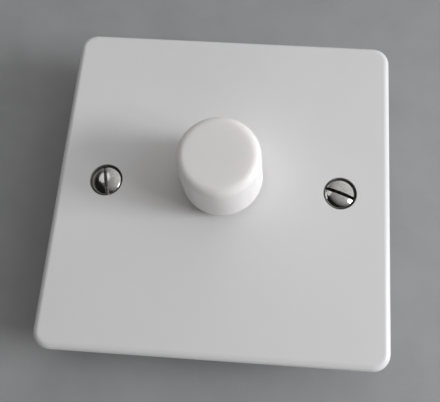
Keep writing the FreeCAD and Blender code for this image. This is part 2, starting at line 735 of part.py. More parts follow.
def make_pot_can():
    body = node("pot_can")
    slab(body, "Blank", "can_low", "front_low", [("disc", "can_dia", "0", "knob_y")])
    cut(body, "Hollow", "can_low + can_sheet", "front_low + 1",
        [("disc", "can_dia - 2 * can_sheet", "0", "knob_y")])
    cut(body, "ShaftHole", "can_low - 1", "can_low + 2", [("disc", "can_hole", "0", "knob_y")])
    cut(body, "PinGap", "disc_low", "disc_top + 0.9",
        [("box", "pin_gap", "can_dia / 2", "0", "knob_y - can_dia / 4 - 2")])


def make_track_disc():
    body = node("track_disc")
    slab(body, "Disc", "disc_low", "disc_top", [("disc", "disc_dia", "0", "knob_y")])
    slab(body, "Tab", "disc_low", "disc_top",
         [("box", "pin_tab_wide", "pin_tab_long", "0", "knob_y - pin_tab_drop")])
    cut(body, "Hole", "disc_low - 1", "disc_top + 1", [("disc", "disc_hole", "0", "knob_y")])


def make_resistive_track():
    body = node("resistive_track")
    slab(body, "Ring", "disc_top", "film_top", [
        ("disc", "track_out", "0", "knob_y"),
        ("disc", "track_in", "0", "knob_y"),
    ])
    reach = "track_out"
    cut(body, "Gap", "disc_top - 1", "film_top + 1", [("path", [
        ("0", "knob_y"),
        ("-%s * sin(track_gap / 2 * 1deg)" % reach, "knob_y - %s * cos(track_gap / 2 * 1deg)" % reach),
        ("%s * sin(track_gap / 2 * 1deg)" % reach, "knob_y - %s * cos(track_gap / 2 * 1deg)" % reach),
    ])])


def make_collector_ring():
    body = node("collector_ring")
    slab(body, "Ring", "disc_top", "film_top", [
        ("disc", "ring_out", "0", "knob_y"),
        ("disc", "ring_in", "0", "knob_y"),
    ])


def make_rotor():
    body = node("rotor")
    turned(body, "Turning", "0", "knob_y", [
        ("0", "disc_low - 0.2"),
        ("rotor_boss", "disc_low - 0.2"),
        ("rotor_boss", "film_top + 0.15"),
        ("rotor_step", "film_top + 0.15"),
        ("rotor_step", "rotor_web"),
        ("rotor_dia / 2", "rotor_web"),
        ("rotor_dia / 2", "rotor_top"),
        ("collar_dia / 2 + 0.2", "rotor_top"),
        ("collar_dia / 2 + 0.2", "collar_low - push_travel - 0.1"),
        ("0", "collar_low - push_travel - 0.1"),
    ])
    # the round side of the drive bore stays inside the shaft's circle plus a running fit
    flat = size("drive_flat") + 0.05
    bore = size("drive_dia") / 2 + 0.05
    start = math.asin(flat / bore)
    steps = 24
    points = []
    for step in range(steps + 1):
        turn = math.pi - start + (math.pi + 2 * start) * step / steps
        points.append(("%.5f" % (bore * math.cos(turn)), "knob_y + %.5f" % (bore * math.sin(turn))))
    cut(body, "DriveBore", "disc_low - 1", "rotor_web + 1", [("path", points)])


def make_wiper():
    body = node("wiper")
    slab(body, "Ring", "rotor_web - wiper_thick", "rotor_web", [
        ("disc", "wiper_out", "0", "knob_y"),
        ("disc", "wiper_in", "0", "knob_y"),
    ])
    cut(body, "Trim", "rotor_web - 1", "rotor_web + 1", [("box", "16", "9", "0", "knob_y - 5.6")])
    fingers = [("box", "finger_side", "finger_side", "0", "knob_y + " + reach)
               for reach in ("track_mid", "finger_in")]
    for number, finger in enumerate(fingers):
        slab(body, "Finger%d" % number, "film_top + 0.05", "rotor_web - 0.1", [finger])


def make_pot_pins():
    body = node("pot_pins")
    edge = "pin_y"
    for number, across in enumerate(("-pin_pitch", "0", "pin_pitch")):
        slab(body, "Foot%d" % number, "disc_top", "disc_top + 0.3",
             [("box", "pin_wide", "2 + pin_thick", across, edge + " + 1 - pin_thick / 2")])
        slab(body, "Leg%d" % number, "pin_tip", "disc_top + 0.3",
             [("box", "pin_wide", "pin_thick", across, edge + " - pin_thick / 2")])


def make_switch_housing():
    body = node("switch_housing")
    slab(body, "Blank", "board_top", "can_low", [("box", "switch_side", "switch_tall", "0", "knob_y")])
    cut(body, "Cavity", "cavity_low", "can_low + 1", [
        ("box", "switch_side - 2 * switch_wall", "switch_tall - 2 * switch_wall", "0", "knob_y")])
    slab(body, "Roof", "cavity_top", "can_low", [("box", "switch_side", "switch_tall", "0", "knob_y")])
    cut(body, "RoofHole", "cavity_top - 0.1", "can_low + 1", [("disc", "5.8", "0", "knob_y")])
    pins = [("box", "0.7", "2.4", across, "knob_y") for across in ("-contact_x", "contact_x")]
    cut(body, "PinSlots", "board_top - 1", "cavity_low + 0.1", pins)
    slab(body, "SpringSpigot", "cavity_low - 0.1", "cavity_low + 0.8", [("disc", "3.2", "0", "knob_y")])


def make_switch_plunger():
    body = node("switch_plunger")
    slab(body, "Plate", "plunger_low", "plunger_top", [("disc", "plunger_dia", "0", "knob_y")])
    slab(body, "Spigot", "bridge_low - 0.5", "plunger_low + 0.1", [("disc", "2.2", "0", "knob_y")])


def make_plunger_spring():
    """Wire coil between the switch floor and the moving contact."""
    wire = size("spring_wire")
    low = size("cavity_low") + wire / 2 + 0.02
    high = size("bridge_low") - wire / 2 - 0.02
    turns = 3.5
    helix = Part.makeHelix((high - low) / turns, high - low, size("spring_dia") / 2)
    start = helix.Vertexes[0].Point
    ring = Part.Wire([Part.makeCircle(wire / 2, start, Vector(0, 1, 0))])
    coil = Part.Wire(helix.Edges).makePipeShell([ring], True, True)
    feature = doc.addObject("Part::Feature", "plunger_spring")
    feature.Label = "plunger_spring"
    feature.Shape = coil
    feature.Placement = FreeCAD.Placement(Vector(0, size("knob_y"), low), FreeCAD.Rotation())
    NODES["plunger_spring"] = feature


def make_moving_contact():
    body = node("moving_contact")
    slab(body, "Bar", "bridge_low", "plunger_low", [
        ("box", "bridge_long", "bridge_wide", "0", "knob_y"),
        ("disc", "2.3", "0", "knob_y"),
    ])
    for name, across in (("Left", "-contact_x"), ("Right", "contact_x")):
        slab(body, name + "Tip", "bridge_low - contact_high", "bridge_low + 0.1",
             [("disc", "1.4", across, "knob_y")])


def make_fixed_contacts():
    body = node("fixed_contacts")
    contact_top = "bridge_low - contact_high - push_travel - 0.05"
    for name, sign in (("Left", "-"), ("Right", "")):
        across = sign + "contact_x"
        slab(body, name + "Blade", "pin_tip", contact_top, [("box", "0.5", "2.2", across, "knob_y")])
        slab(body, name + "Head", contact_top + " - contact_high", contact_top,
             [("box", "2", "2.2", across, "knob_y")])


def make_circuit_board():
    body = node("circuit_board")
    top = "case_in_y - board_gap"
    half = "case_in_x - board_gap"
    slab(body, "Board", "board_low", "board_top", [("path", [
        ("-(%s)" % half, "board_front"), (half, "board_front"), (half, top), ("-(%s)" % half, top)])])
    for name, sign in (("Left", "-1"), ("Right", "1")):
        cut(body, name + "Notch", "board_low - 1", "board_top + 1",
            [("box", "9", "9", sign + " * (post_x + 0.6)", "post_y + 0.6")])
    legs = [("disc", "1.1", across, "pin_y - pin_thick / 2")
            for across in ("-pin_pitch", "0", "pin_pitch")]
    legs += [("box", "0.9", "2.6", across, "knob_y") for across in ("-contact_x", "contact_x")]
    legs += [("disc", "1.7", across, "tail_y") for across in ("-term_pitch", "0", "term_pitch")]
    legs += [("disc", "1.2", "triac_x + (%d) * lead_pitch" % step, "triac_y - 6.3") for step in (-1, 0, 1)]
    legs += [("disc", "trim_dia + 0.5", "trim_x", "trim_y")]
    for turn in CHOKE_ENDS:
        reach = "(choke_out / 2 + choke_wire / 2 + 0.2)"
        legs.append(("disc", "choke_wire + 0.3", "choke_x + %s * %.5f" % (reach, math.cos(turn)),
                     "choke_y + %s * %.5f" % (reach, math.sin(turn))))
    cut(body, "Holes", "board_low - 1", "board_top + 1", legs)


def make_triac():
    body = node("triac")
    slab(body, "Tab", "tab_low", "tab_low + tab_thick",
         [("box", "triac_wide", "15.6", "triac_x", "triac_y + 3.3")])
    slab(body, "Body", "tab_low - 3.1", "tab_low + 0.6",
         [("box", "triac_wide", "9", "triac_x", "triac_y")])
    cut(body, "TabHole", "tab_low - 1", "tab_low + 2", [("disc", "3.6", "triac_x", "triac_hole_y")])
    for number, step in enumerate((-1, 0, 1)):
        across = "triac_x + (%d) * lead_pitch" % step
        slab(body, "Lead%d" % number, "tab_low - 1.4", "tab_low - 0.9",
             [("box", "0.8", "2.4", across, "triac_y - 5.4")])
        slab(body, "Leg%d" % number, "pin_tip", "tab_low - 0.9",
             [("box", "0.8", "0.5", across, "triac_y - 6.35")])


def make_thermal_pad():
    body = node("thermal_pad")
    slab(body, "Pad", "sink_low - pad_thick", "sink_low", [
        ("box", "11", "16.4", "triac_x", "triac_y + 3.3"),
        ("disc", "3.6", "triac_x", "triac_hole_y"),
    ])


def make_triac_screw():
    body = node("triac_screw")
    radius = 1.45
    points = [("0", "tab_low - 1.9"), ("2.5", "tab_low - 1.9"), ("2.8", "tab_low - 1.6"), ("2.8", "tab_low"),
              ("1.3", "tab_low")]
    points += threaded(radius, 0.15, size("tab_low") + 0.3, size("skin_low") - 0.4, 0.5)
    points += [("0", "skin_low - 0.3")]
    turned(body, "Screw", "triac_x", "triac_hole_y", points)
    cut(body, "Slot", "tab_low - 2.4", "tab_low - 1", [("box", "7", "0.9", "triac_x", "triac_hole_y")])


def make_choke_core():
    body = node("choke_core")
    middle = "(board_top + 0.5 + choke_wire)"
    slab(body, "Ring", middle, middle + " + choke_high", [
        ("disc", "choke_out", "choke_x", "choke_y"), ("disc", "choke_in", "choke_x", "choke_y")])


def make_choke_winding():
    """One wire wound round the ring core, with both ends soldered in the board."""
    wire = size("choke_wire") / 2
    gap = wire + 0.2
    low = size("board_top") + 0.5 + size("choke_wire") - gap
    high = size("board_top") + 0.5 + size("choke_wire") + size("choke_high") + gap
    outer = size("choke_out") / 2 + gap
    inner = size("choke_in") / 2 - gap
    turns = 15
    first_turn = CHOKE_ENDS[0]
    last_turn = CHOKE_ENDS[1]
    corner = [(outer, low + 0.5), (outer, high - 0.5), (outer - 0.5, high), (inner + 0.5, high),
              (inner, high - 0.5), (inner, low + 0.5), (inner + 0.5, low), (outer - 0.5, low)]
    sweep = last_turn - first_turn
    points = []
    for step in range(turns * len(corner) + 1):
        radius, height = corner[step % len(corner)]
        turn = first_turn + sweep * step / (turns * len(corner))
        points.append(Vector(size("choke_x") + radius * math.cos(turn),
                             size("choke_y") + radius * math.sin(turn), height))
    first = Vector(points[0].x, points[0].y, size("pin_tip"))
    last = Vector(points[-1].x, points[-1].y, size("pin_tip"))
    solids = []
    for start, end in zip([first] + points, points + [last]):
        step = end - start
        solids.append(Part.makeCylinder(wire, step.Length, start, step))
    for point in points:
        solids.append(Part.makeSphere(wire, point))
    coil = solids[0].multiFuse(solids[1:])
    feature = doc.addObject("Part::Feature", "choke_winding")
    feature.Label = "choke_winding"
    feature.Shape = coil
    feature.Placement = FreeCAD.Placement()
    NODES["choke_winding"] = feature


def make_suppression_capacitor():
    body = node("suppression_capacitor")
    slab(body, "Case", "board_top + 0.3", "board_top + 6.3",
         [("box", "12", "8.6", "film_cap_x", "film_cap_y")])
    rounded(body, "Edges", "0.5", lambda edge: edge.BoundBox.ZMin > size("board_top") + 6)
    slab(body, "Leads", "board_top", "board_top + 0.4", [
        ("disc", "0.8", "film_cap_x - 5", "film_cap_y"), ("disc", "0.8", "film_cap_x + 5", "film_cap_y")])


def make_timing_capacitor():
    body = node("timing_capacitor")
    slab(body, "Case", "board_top + 0.3", "board_top + 6",
         [("box", "7.2", "2.6", "timing_cap_x", "timing_cap_y")])
    rounded(body, "Edges", "0.4", lambda edge: edge.BoundBox.ZMin > size("board_top") + 5.8)
    slab(body, "Leads", "board_top", "board_top + 0.4",
         [("disc", "0.6", "timing_cap_x %s 2.5" % sign, "timing_cap_y") for sign in ("-", "+")])


def axial(body, tag, across, along, diameter, length):
    """A round part along Y on bent leads that end on the board."""
    axis = "board_top + 0.3 + %s / 2" % diameter
    near = "%s - %s / 2" % (along, length)
    far = "%s + %s / 2" % (along, length)
    bar_along_y(body, tag + "Body", near, far, [("disc", diameter, across, axis)])
    bar_along_y(body, tag + "Wire", near + " - 1.5", far + " + 1.5", [("disc", "0.6", across, axis)])
    for end, sign in (("A", "-"), ("B", "+")):
        slab(body, tag + "Leg" + end, "board_top", axis,
             [("disc", "0.6", across, "%s %s (%s / 2 + 1.3)" % (along, sign, length))])


def make_resistors():
    body = node("resistors")
    for number, across in enumerate(("-21", "-18", "-12")):
        axial(body, "R%d" % number, across, "row_y", "2.2", "6.3")


def make_diac():
    body = node("diac")
    axial(body, "Diac", "-15", "row_y", "1.8", "3.9")


def make_fuse():
    body = node("fuse_tube")
    low = "fuse_x - fuse_long / 2 + 0.5"
    high = "fuse_x + fuse_long / 2 - 0.5"
    bar_along_x(body, "Tube", low, high, [
        ("disc", "fuse_dia - 0.1", "fuse_y", "fuse_axis"), ("disc", "fuse_dia - 1.6", "fuse_y", "fuse_axis")])
    caps = node("fuse_caps")
    clips = node("fuse_clips")
    for name, sign in (("Left", "-"), ("Right", "+")):
        middle = "fuse_x %s (fuse_long / 2 - 2.5)" % sign
        bar_along_x(caps, name + "Cap", middle + " - 2.5", middle + " + 2.5", [
            ("disc", "fuse_dia + 0.5", "fuse_y", "fuse_axis"), ("disc", "fuse_dia", "fuse_y", "fuse_axis")])
        face = "fuse_x %s fuse_long / 2" % sign
        near, far = (face, face + " + 0.4") if name == "Left" else (face + " - 0.4", face)
        bar_along_x(caps, name + "End", near, far, [("disc", "fuse_dia + slip", "fuse_y", "fuse_axis")])
        wall = "fuse_dia / 2 + 0.35"
        bar_along_x(clips, name + "Clip", middle + " - 1.8", middle + " + 1.8", [("path", [
            ("fuse_y - (%s) - 0.4" % wall, "board_top"),
            ("fuse_y + (%s) + 0.4" % wall, "board_top"),
            ("fuse_y + (%s) + 0.4" % wall, "fuse_axis + 1.6"),
            ("fuse_y + (%s)" % wall, "fuse_axis + 1.6"),
            ("fuse_y + (%s)" % wall, "board_top + 0.4"),
            ("fuse_y - (%s)" % wall, "board_top + 0.4"),
            ("fuse_y - (%s)" % wall, "fuse_axis + 1.6"),
            ("fuse_y - (%s) - 0.4" % wall, "fuse_axis + 1.6"),
        ])])


def make_trimmer():
    base = node("trimmer_base")
    slab(base, "Body", "board_top", "board_top + 2.6", [("box", "trim_side", "trim_side", "trim_x", "trim_y")])
    cut(base, "Bore", "board_top - 1", "board_top + 1.9", [("disc", "trim_dia + 0.1", "trim_x", "trim_y")])
    rotor = node("trimmer_rotor")
    slab(rotor, "Stem", "pin_tip", "board_top + 1.8", [("disc", "trim_dia", "trim_x", "trim_y")])
    cut(rotor, "Slot", "pin_tip - 0.5", "pin_tip + 0.8", [("box", "4", "0.6", "trim_x", "trim_y")])


def make_terminals():
    block = node("terminal_block")
    cages = node("terminal_cages")
    screws = node("terminal_screws")
    slab(block, "Blank", "floor_top + 0.1", "block_top", [("box", "block_wide", "block_long", "0", "term_y")])
    positions = (("Left", "-term_pitch"), ("Mid", "0"), ("Right", "term_pitch"))
    nests = [("box", "cage_wide + 0.2", "cage_long + 0.2", across, "term_y") for name, across in positions]
    cut(block, "Nests", "cage_low", "block_top + 1", nests)
    wells = [("disc", "clamp_head + 0.4", across, "term_y") for name, across in positions]
    cut(block, "DriverWells", "floor_top - 1", "cage_low + 0.1", wells)
    entries = [("disc", "wire_dia + 0.4", across, "term_axis") for name, across in positions]
    cut_along_y(block, "Entries", "term_y - block_long / 2 - 1", "term_y", entries)
    tails = [("box", "1.6", "4", across, "term_y + 5") for name, across in positions]
    cut(block, "TailSlots", "cage_top - 0.8", "block_top + 1", tails)
    radius = size("clamp_dia") / 2
    for name, across in positions:
        slab(cages, name + "Cage", "cage_low", "cage_top", [
            ("box", "cage_wide", "cage_long", across, "term_y")])
        slab(cages, name + "Tail", "cage_top - 0.6", "cage_top", [("box", "1.2", "4", across, "term_y + 4.1")])
        slab(cages, name + "Pin", "pin_tip", "cage_top", [("box", "1.2", "0.6", across, "tail_y")])
    bores = [("disc", "wire_dia", across, "term_axis") for name, across in positions]
    cut_along_y(cages, "WireBores", "term_y - cage_long / 2 - 1", "term_y + cage_long / 2 - 0.8", bores)
    taps = [("disc", "clamp_dia + slip", across, "term_y") for name, across in positions]
    cut(cages, "Taps", "cage_low - 1", "term_axis", taps)
    tip = "term_axis - wire_dia / 2 - 0.1"
    for name, across in positions:
        points = [("0", "floor_top + 0.3"), ("clamp_head / 2 - 0.3", "floor_top + 0.3"),
                  ("clamp_head / 2", "floor_top + 0.6"), ("clamp_head / 2", "floor_top + 1.8"),
                  ("clamp_dia / 2 - 0.15", "floor_top + 1.8")]
        thread_end = size("term_axis") - size("wire_dia") / 2 - 0.3
        points += threaded(radius, 0.15, size("floor_top") + 2, thread_end, 0.5)
        points += [("clamp_dia / 2 - 0.4", tip), ("0", tip)]
        turned(screws, name + "Screw", across, "term_y", points)
        cut(screws, name + "Slot", "floor_top - 0.2", "floor_top + 1.2",
            [("box", "clamp_head + 1", "0.8", across, "term_y")])


make_faceplate()
make_fixing_screws()
make_screw_retainers()
make_knob()
make_knob_clip()
make_shaft()
make_bushing()
make_bushing_nut()
make_lock_washer()
make_heat_sink()
make_rear_case()
make_case_screws()
make_pot_front()
make_pot_can()
make_track_disc()
make_resistive_track()
make_collector_ring()
make_rotor()
make_wiper()
make_pot_pins()
make_switch_housing()
make_switch_plunger()
make_plunger_spring()
make_moving_contact()
make_fixed_contacts()
make_circuit_board()
make_triac()
make_thermal_pad()
make_triac_screw()
make_choke_core()
make_choke_winding()
make_suppression_capacitor()
make_timing_capacitor()
make_resistors()
make_diac()
make_fuse()
make_trimmer()
make_terminals()

doc.recompute()
for item in doc.Objects:
    if "Invalid" in item.State or "Error" in item.State:
        raise ValueError("%s is %s" % (item.Label, item.State))
for name, item in sorted(NODES.items()):
    shape = item.Shape
    if shape.isNull() or not shape.isValid() or not shape.Solids:
        raise ValueError(name + " has no valid solid")
    shape.exportStep("parts/%s.step" % name)
    box = shape.BoundBox
    print("%-22s %2d solids %9.2f mm3  x %7.2f %7.2f  y %7.2f %7.2f  z %7.2f %7.2f" % (
        name, len(shape.Solids), shape.Volume, box.XMin, box.XMax, box.YMin, box.YMax, box.ZMin, box.ZMax))
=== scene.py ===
import json
import math

import bmesh
import bpy
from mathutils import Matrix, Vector


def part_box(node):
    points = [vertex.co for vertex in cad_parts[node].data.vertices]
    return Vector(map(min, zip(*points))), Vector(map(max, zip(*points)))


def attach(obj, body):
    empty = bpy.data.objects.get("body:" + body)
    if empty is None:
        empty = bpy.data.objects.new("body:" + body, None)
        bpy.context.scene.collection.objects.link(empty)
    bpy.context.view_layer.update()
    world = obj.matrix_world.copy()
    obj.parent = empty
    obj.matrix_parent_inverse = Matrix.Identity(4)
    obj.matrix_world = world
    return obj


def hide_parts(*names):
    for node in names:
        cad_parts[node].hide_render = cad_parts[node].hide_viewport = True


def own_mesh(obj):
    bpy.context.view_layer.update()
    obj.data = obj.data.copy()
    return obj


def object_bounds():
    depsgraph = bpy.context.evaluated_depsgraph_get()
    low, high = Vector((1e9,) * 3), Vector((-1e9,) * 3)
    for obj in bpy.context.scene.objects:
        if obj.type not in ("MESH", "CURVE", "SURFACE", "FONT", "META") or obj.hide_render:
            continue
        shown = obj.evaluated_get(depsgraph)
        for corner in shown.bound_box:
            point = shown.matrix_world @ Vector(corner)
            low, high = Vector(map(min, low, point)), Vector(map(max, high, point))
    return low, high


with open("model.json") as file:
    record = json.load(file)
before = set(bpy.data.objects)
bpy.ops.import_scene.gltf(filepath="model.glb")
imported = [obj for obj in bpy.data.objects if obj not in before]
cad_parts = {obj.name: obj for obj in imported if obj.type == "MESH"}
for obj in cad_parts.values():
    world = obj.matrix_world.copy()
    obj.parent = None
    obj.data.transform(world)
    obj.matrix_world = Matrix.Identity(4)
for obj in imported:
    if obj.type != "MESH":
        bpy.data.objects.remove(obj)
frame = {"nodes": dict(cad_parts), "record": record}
cad_low, cad_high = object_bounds()

MM = 0.001
scene = bpy.context.scene
nodes = frame["nodes"]
plate_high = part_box("faceplate")[1]
face_middle = Vector((0, 0, plate_high.z))
floor_height = cad_low.z


# ---------------------------------------------------------------- shader nodes

def fill(node, values):
    """Set inputs of a node by their names."""
    for name, value in values.items():
        node.inputs[name].default_value = value


def new_material(name):
    """A material and the tools to wire it: its tree, its shader and its coordinates."""
    material = bpy.data.materials.new(name)
    material.use_nodes = True
    tree = material.node_tree
    shader = tree.nodes["Principled BSDF"]
    place = tree.nodes.new("ShaderNodeTexCoord").outputs["Object"]
    return material, tree, shader, place


def stretched(tree, place, scale, turn=(0, 0, 0)):
    """Coordinates scaled differently along each axis."""
    mapping = tree.nodes.new("ShaderNodeMapping")
    fill(mapping, {"Scale": scale, "Rotation": turn})
    tree.links.new(place, mapping.inputs["Vector"])
    return mapping.outputs["Vector"]


def noise(tree, place, size, detail=3.0, roughness=0.55):
    """Noise whose blotches are about size metres across."""
    texture = tree.nodes.new("ShaderNodeTexNoise")
    fill(texture, {"Scale": 1.0 / size, "Detail": detail, "Roughness": roughness})
    tree.links.new(place, texture.inputs["Vector"])
    return texture.outputs["Fac"]


def ramp(tree, value, low, high, start=0.35, end=0.65):
    """A colour that runs from low to high while the value runs from start to end."""
    blend = tree.nodes.new("ShaderNodeValToRGB")
    for stop, position, colour in zip(blend.color_ramp.elements, (start, end), (low, high)):
        stop.position = position
        stop.color = (*colour, 1)
    tree.links.new(value, blend.inputs["Fac"])
    return blend.outputs["Color"]


def between(tree, value, low, high, start=0.3, end=0.7):
    """A number that runs from low to high while the value runs from start to end."""
    span = tree.nodes.new("ShaderNodeMapRange")
    fill(span, {"From Min": start, "From Max": end, "To Min": low, "To Max": high})
    tree.links.new(value, span.inputs["Value"])
    return span.outputs["Result"]


def bump(tree, height, depth, below=None):
    """A bump of depth metres, laid over another one where that is given."""
    node = tree.nodes.new("ShaderNodeBump")
    fill(node, {"Strength": 1.0, "Distance": depth})
    tree.links.new(height, node.inputs["Height"])
    if below is not None:
        tree.links.new(below, node.inputs["Normal"])
    return node.outputs["Normal"]


def shaded(colour, factor):
    """A colour multiplied by a factor, with each channel kept at 1 or less."""
    return tuple(min(1.0, channel * factor) for channel in colour)


def mixed(tree, factor, under, over):
    """One colour over another by a factor."""
    mix = tree.nodes.new("ShaderNodeMix")
    mix.data_type = "RGBA"
    tree.links.new(factor, mix.inputs["Factor"])
    tree.links.new(under, mix.inputs["A"])
    mix.inputs["B"].default_value = (*over, 1)
    return mix.outputs["Result"]


def apart(tree, place):
    """The x, y and z of a vector."""
    axes = tree.nodes.new("ShaderNodeSeparateXYZ")
    tree.links.new(place, axes.inputs["Vector"])
    return axes.outputs


def calculate(tree, operation, *terms):
    """The result of a maths operation on numbers or sockets."""
    node = tree.nodes.new("ShaderNodeMath")
    node.operation = operation
    for socket, term in zip(node.inputs, terms):
        if isinstance(term, (int, float)):
            socket.default_value = term
        else:
            tree.links.new(term, socket)
    return node.outputs["Value"]


# ---------------------------------------------------------------- kinds of material

def moulded(name, colour, gloss, grain, grain_depth, tint,
            coat=0.0, subsurface=0.0, depth=0.0012, specks=0.0):
    """Moulded plastic: slow shade changes, a fine skin, smears, sink marks and dark specks."""
    material, tree, shader, place = new_material(name)
    clouds = noise(tree, place, size=0.018, detail=4.0)
    base = ramp(tree, clouds, shaded(colour, tint), colour)
    if specks:
        dots = noise(tree, place, size=0.0006, detail=2.0, roughness=0.7)
        amount = between(tree, dots, 0.0, specks, start=0.66, end=0.74)
        base = mixed(tree, amount, base, shaded(colour, 0.55))
    tree.links.new(base, shader.inputs["Base Color"])
    slanted = stretched(tree, place, (1.0, 1.6, 1.0), turn=(0, 0, 0.6))
    smears = noise(tree, slanted, size=0.014, detail=2.0, roughness=0.5)
    roughness = between(tree, smears, *gloss, start=0.15, end=0.85)
    tree.links.new(roughness, shader.inputs["Roughness"])
    sink_marks = bump(tree, noise(tree, place, size=0.03, detail=1.0), depth=0.00006)
    skin = noise(tree, place, grain, detail=2.0, roughness=0.6)
    tree.links.new(bump(tree, skin, grain_depth, sink_marks), shader.inputs["Normal"])
    fill(shader, {"IOR": 1.49, "Coat Weight": coat, "Coat Roughness": 0.12})
    if subsurface:
        fill(shader, {
            "Subsurface Weight": subsurface,
            "Subsurface Radius": (1.0, 0.90, 0.86),
            "Subsurface Scale": depth,
        })
    return material


def metal(name, colour, gloss, streak, streak_size=0.004, depth=0.000004, tarnish=0.7, spots=0.0):
    """Metal with drawn or turned streaks, a slow tarnish and small dark spots."""
    material, tree, shader, place = new_material(name)
    lines = noise(tree, stretched(tree, place, streak), streak_size, detail=4.0, roughness=0.65)
    age = noise(tree, place, size=0.003, detail=5.0, roughness=0.6)
    base = ramp(tree, age, shaded(colour, tarnish), colour, start=0.3, end=0.6)
    if spots:
        pits = noise(tree, place, size=0.0005, detail=2.0, roughness=0.6)
        amount = between(tree, pits, 0.0, spots, start=0.64, end=0.72)
        base = mixed(tree, amount, base, shaded(colour, 0.25))
    tree.links.new(base, shader.inputs["Base Color"])
    shader.inputs["Metallic"].default_value = 1.0
    tree.links.new(between(tree, lines, *gloss), shader.inputs["Roughness"])
    tree.links.new(bump(tree, lines, depth), shader.inputs["Normal"])
    return material


def circuit_laminate(name):
    """Green solder mask over paler copper tracks, with the glass weave showing faintly."""
    material, tree, shader, place = new_material(name)
    tracks = tree.nodes.new("ShaderNodeTexVoronoi")
    tracks.feature = "DISTANCE_TO_EDGE"
    tracks.inputs["Scale"].default_value = 160.0
    tree.links.new(place, tracks.inputs["Vector"])
    over_copper, bare_mask = (0.035, 0.17, 0.06), (0.015, 0.09, 0.035)
    base = ramp(tree, tracks.outputs["Distance"], over_copper, bare_mask, start=0.10, end=0.14)
    tree.links.new(base, shader.inputs["Base Color"])
    weave = tree.nodes.new("ShaderNodeTexWave")
    fill(weave, {"Scale": 900.0, "Distortion": 0.6})
    tree.links.new(place, weave.inputs["Vector"])
    threads = weave.outputs["Fac"]
    roughness = between(tree, threads, 0.25, 0.4, start=0, end=1)
    tree.links.new(roughness, shader.inputs["Roughness"])
    tree.links.new(bump(tree, threads, depth=0.00001), shader.inputs["Normal"])
    return material


def wound_wire(name, colour):
    """Enamelled copper: lacquer over drawn wire."""
    material = metal(name, colour, gloss=(0.18, 0.3), streak=(1.0, 1.0, 3.0), streak_size=0.002,
                     depth=0.000003, tarnish=0.8)
    shader = material.node_tree.nodes["Principled BSDF"]
    fill(shader, {"Coat Weight": 0.6, "Coat Roughness": 0.08})
    return material


def glassy(name, colour):
    """Small glass bodies, smoky inside."""
    material, tree, shader, place = new_material(name)
    smoke = noise(tree, place, size=0.0015)
    tree.links.new(ramp(tree, smoke, shaded(colour, 0.6), colour), shader.inputs["Base Color"])
    tree.links.new(between(tree, smoke, 0.05, 0.14), shader.inputs["Roughness"])
    fill(shader, {"Transmission Weight": 0.6, "IOR": 1.5})
    return material


# ---------------------------------------------------------------- finish of each material slot

EVEN = (1.0, 1.0, 1.0)

